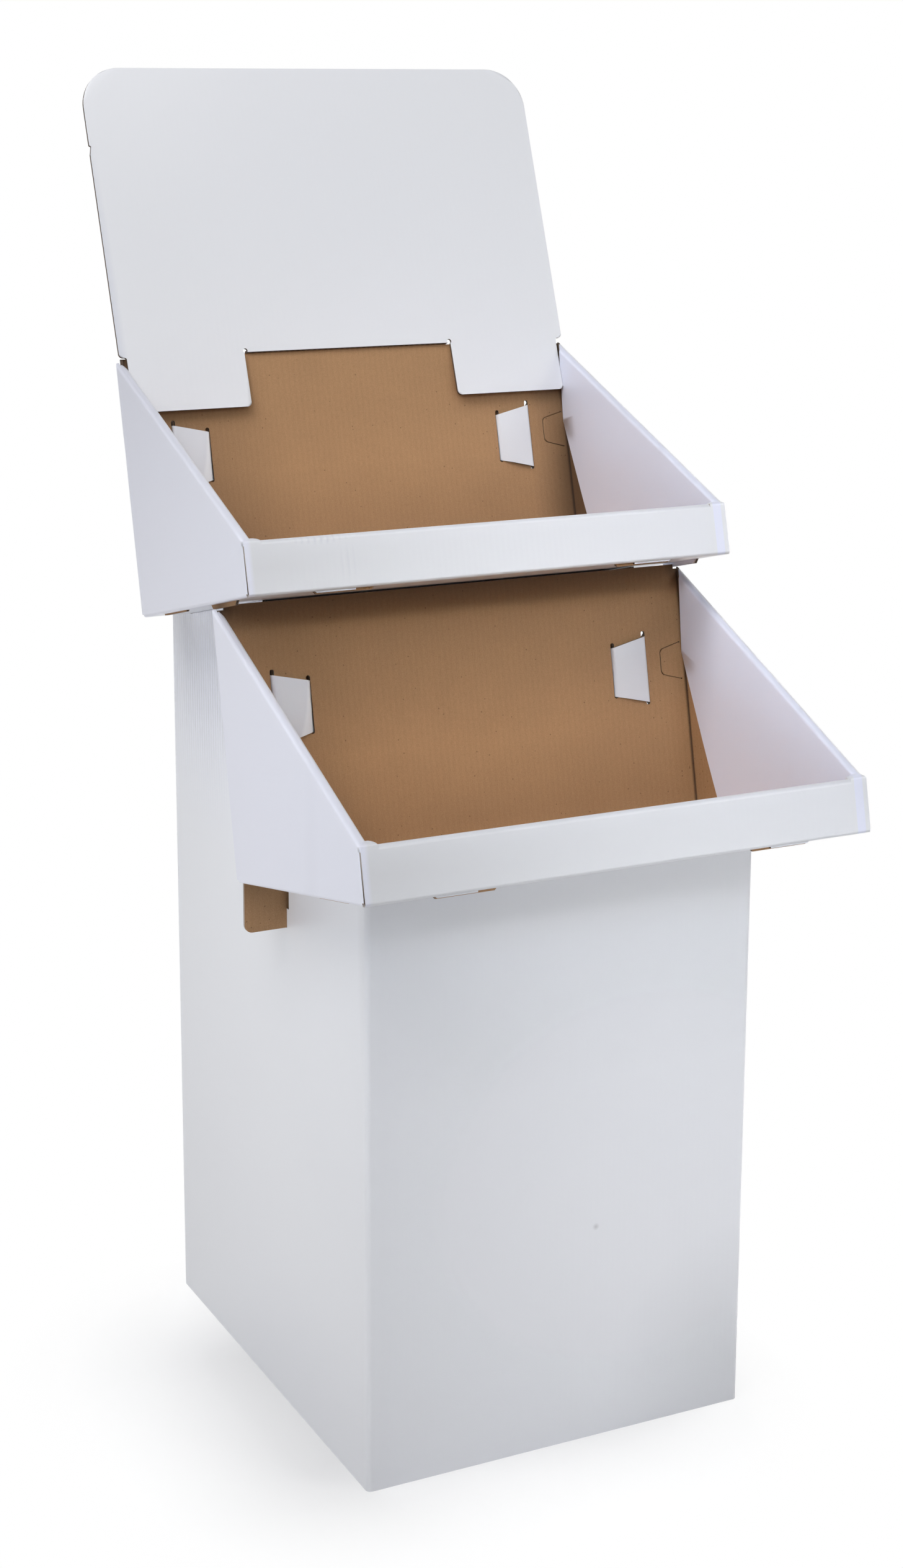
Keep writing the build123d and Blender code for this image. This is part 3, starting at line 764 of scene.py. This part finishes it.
def dress_header():
    """White before, brown behind, and brown on the folded tab."""
    hinge_place = Vector((0, TRAY_D - BOARD - SEAT_GAP, TRAY_BACK_H))
    hinge = Matrix.Translation(UPPER_LIP) @ Matrix.Rotation(-UPPER_TILT, 4, "X") @ hinge_place
    pose = Matrix.Translation(hinge) @ Matrix.Rotation(-HEADER_TILT, 4, "X")
    bm = sheet_mesh("header_card")
    bmesh.ops.transform(bm, matrix=pose.inverted(), verts=bm.verts)
    bm.normal_update()
    for patch in smooth_patches(bm):
        biggest = max(patch, key=lambda face: face.calc_area())
        finish = CUT
        if biggest.normal.y < -0.99 and abs(biggest.calc_center_median().y + BOARD) < NEAR:
            finish = WHITE
        elif sum(face.calc_area() for face in patch) > LEAST_LINER:
            finish = KRAFT
        for face in patch:
            face.material_index = finish
    map_flutes(bm, lambda face: (X, Z))
    bmesh.ops.transform(bm, matrix=pose, verts=bm.verts)
    return place_sheet(bm, "header_card_board", "header_card")


dress_header()

# %% [markdown]
# The support panel is brown on both faces. Only its two ears show, where they come out of the column.

# %% Support panel
low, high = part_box("support_panel")
sheet = sheet_mesh("support_panel")
paint(sheet, [(1, low.y, -1, KRAFT), (1, high.y, 1, KRAFT)])
map_flutes(sheet, lambda face: (X, Z))
place_sheet(sheet, "support_panel_board", "support_panel")

# %% [markdown]
# The floor is a plain white sheet that runs past the horizon. Close to the stand it keeps the lamps'
# soft shadow, and a painted shadow adds to it, strongest on the stand's left, where the white lift is
# weakest. From there it gets lighter with distance until it is pure white, as in a cut-out product
# photograph. Only the camera and reflections see that lift, so it adds no light to the stand.

# %% Floor
FLOOR_HALF = 40.0
SHADOW_MIDDLE = (-0.08, -0.06, 0)
SHADOW_HALF = (0.13, 0.11, 0)
SHADOW_REACH = (0.04, 0.26)     # where the shadow starts to fade, and where it is gone
# Near the stand the lift is weaker, which paints a shadow there.
LIFT_REACH = 0.20
FLOOR_LIFT = (0.26, 0.50)
FLOOR_TONE = (0.60, 0.60, 0.606, 1.0)
PAPER_TONE = (0.85, 0.85, 0.86, 1.0)
PLAIN_WHITE = (1, 1, 1, 1)


def floor_distance(tree):
    """How far a point of the floor lies outside the middle of the shadow."""
    place = add(tree, "ShaderNodeTexCoord").outputs["Object"]
    from_middle = vector_node(tree, "ABSOLUTE", vector_node(tree, "SUBTRACT", place, SHADOW_MIDDLE))
    beyond = vector_node(tree, "SUBTRACT", from_middle, SHADOW_HALF)
    return vector_node(tree, "LENGTH", vector_node(tree, "MAXIMUM", beyond))


def floor_material():
    """White paper near the stand, with a painted shadow, that turns into a plain white ground."""
    material, tree, output = new_material("studio_floor")
    away = floor_distance(tree)
    # A weaker lift near the stand paints a shadow.
    lift = spread(tree, away, 0.0, LIFT_REACH, *FLOOR_LIFT)
    paper = add(tree, "ShaderNodeBsdfDiffuse", {"Color": PAPER_TONE})
    shaded = add(tree, "ShaderNodeBsdfDiffuse", {"Color": FLOOR_TONE})
    lifted = add(tree, "ShaderNodeEmission", {"Color": PLAIN_WHITE, "Strength": lift})
    near = add(tree, "ShaderNodeAddShader", {0: shaded.outputs[0], 1: lifted.outputs[0]})
    far = add(tree, "ShaderNodeEmission", {"Color": PLAIN_WHITE, "Strength": 1.0})
    blend = spread(tree, away, *SHADOW_REACH)
    seen = add(tree, "ShaderNodeMixShader", {0: blend, 1: near.outputs[0], 2: far.outputs[0]})
    rays = add(tree, "ShaderNodeLightPath").outputs
    sight = math_node(tree, "MAXIMUM", rays["Is Camera Ray"], rays["Is Glossy Ray"])
    mixed = add(tree, "ShaderNodeMixShader", {0: sight, 1: paper.outputs[0], 2: seen.outputs[0]})
    tree.links.new(mixed.outputs[0], output.inputs["Surface"])
    return material


floor_mesh = bpy.data.meshes.new("studio_floor")
corners = [(x * FLOOR_HALF, y * FLOOR_HALF, 0) for x, y in ((-1, -1), (1, -1), (1, 1), (-1, 1))]
floor_mesh.from_pydata(corners, [], [(0, 1, 2, 3)])
floor_mesh.materials.append(floor_material())
floor = bpy.data.objects.new("studio_floor", floor_mesh)
bpy.context.scene.collection.objects.link(floor)
floor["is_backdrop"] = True
print("floor", 2 * FLOOR_HALF, "m across")

# %% [markdown]
# The world is white for the camera and for reflections, as a studio's walls are, and adds no light of
# its own.

# %% World
def studio_world():
    """A plain white surround for the camera and for reflections."""
    world = bpy.data.worlds.new("studio")
    world.use_nodes = True
    tree = world.node_tree
    tree.nodes.clear()
    rays = add(tree, "ShaderNodeLightPath").outputs
    sight = math_node(tree, "MAXIMUM", rays["Is Camera Ray"], rays["Is Transmission Ray"])
    sight = math_node(tree, "MAXIMUM", sight, rays["Is Glossy Ray"])
    sky = add(tree, "ShaderNodeBackground", {"Color": PLAIN_WHITE, "Strength": sight})
    output = add(tree, "ShaderNodeOutputWorld")
    tree.links.new(sky.outputs[0], output.inputs["Surface"])
    bpy.context.scene.world = world


studio_world()
print("world:", bpy.context.scene.world.name)

# %% [markdown]
# The light is that of a white studio. Six wide windows surround the stand, and the strongest hangs high
# on the left. Five narrow ones lay soft pools: one on the column's front, one on its left side, one
# inside each tray on the right, and one on the lower back wall. The two inside the trays are a little
# cool, because the brown board beside those panels throws a warm light back at them.

# %% Light
COOL, NEUTRAL = (0.78, 0.88, 1.0), (1, 1, 1)
AIM = (0, 0, 0.75)
# Each window has a place, the point that it faces, its size, its spread in degrees, its power and its colour.
WINDOWS = {
    "key_right": ((2.2, -2.4, 2.2), AIM, 1.8, 180, 20.8, NEUTRAL),
    "high_left": ((-1.8, -0.8, 3.4), AIM, 1.6, 180, 57.0, NEUTRAL),
    "top": ((0.0, -0.8, 3.6), AIM, 1.8, 180, 25.0, NEUTRAL),
    "front_left": ((-2.4, -2.4, 2.2), AIM, 1.8, 180, 2.7, NEUTRAL),
    "back": ((0.3, 3.0, 1.8), AIM, 1.8, 180, 32.0, NEUTRAL),
    "right": ((3.2, 0.5, 1.5), AIM, 1.8, 180, 30.0, NEUTRAL),
    "front_pool": ((1.5, -2.7, 0.2), (0.11, -0.24, 0.27), 0.5, 22, 0.58, NEUTRAL),
    "tray_pool": ((-1.6, -2.2, 2.3), (0.26, 0.0, 0.85), 0.7, 30, 0.6, COOL),
    "low_tray_pool": ((-1.9, -1.6, 1.7), (0.26, -0.2, 0.72), 0.6, 20, 0.2, COOL),
    "low_back_pool": ((-0.5, -2.8, 2.4), (0.02, -0.04, 0.73), 0.5, 14, 0.24, NEUTRAL),
    "side_pool": ((-3.0, -0.3, 0.5), (-0.21, 0.0, 0.5), 1.0, 35, 1.3, NEUTRAL),
}


def soft_window(name, place, aim, size, spread_angle, power, colour):
    """A square area lamp that faces a point."""
    lamp = bpy.data.lights.new(name, "AREA")
    lamp.shape = "SQUARE"
    lamp.size = size
    lamp.spread = math.radians(spread_angle)
    lamp.energy = power
    lamp.color = colour
    window = bpy.data.objects.new(name, lamp)
    window.location = place
    window.rotation_euler = (Vector(aim) - Vector(place)).to_track_quat("-Z", "Y").to_euler()
    bpy.context.scene.collection.objects.link(window)


for name, settings in WINDOWS.items():
    soft_window(name, *settings)
print("windows:", len(WINDOWS))

# %% [markdown]
# The dressed pieces must fill the imported model's box and no more. Their box is measured and its size
# is printed.

# %% Sizes and the last line
low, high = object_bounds()
print("size", [round(b - a, 4) for a, b in zip(low, high)])
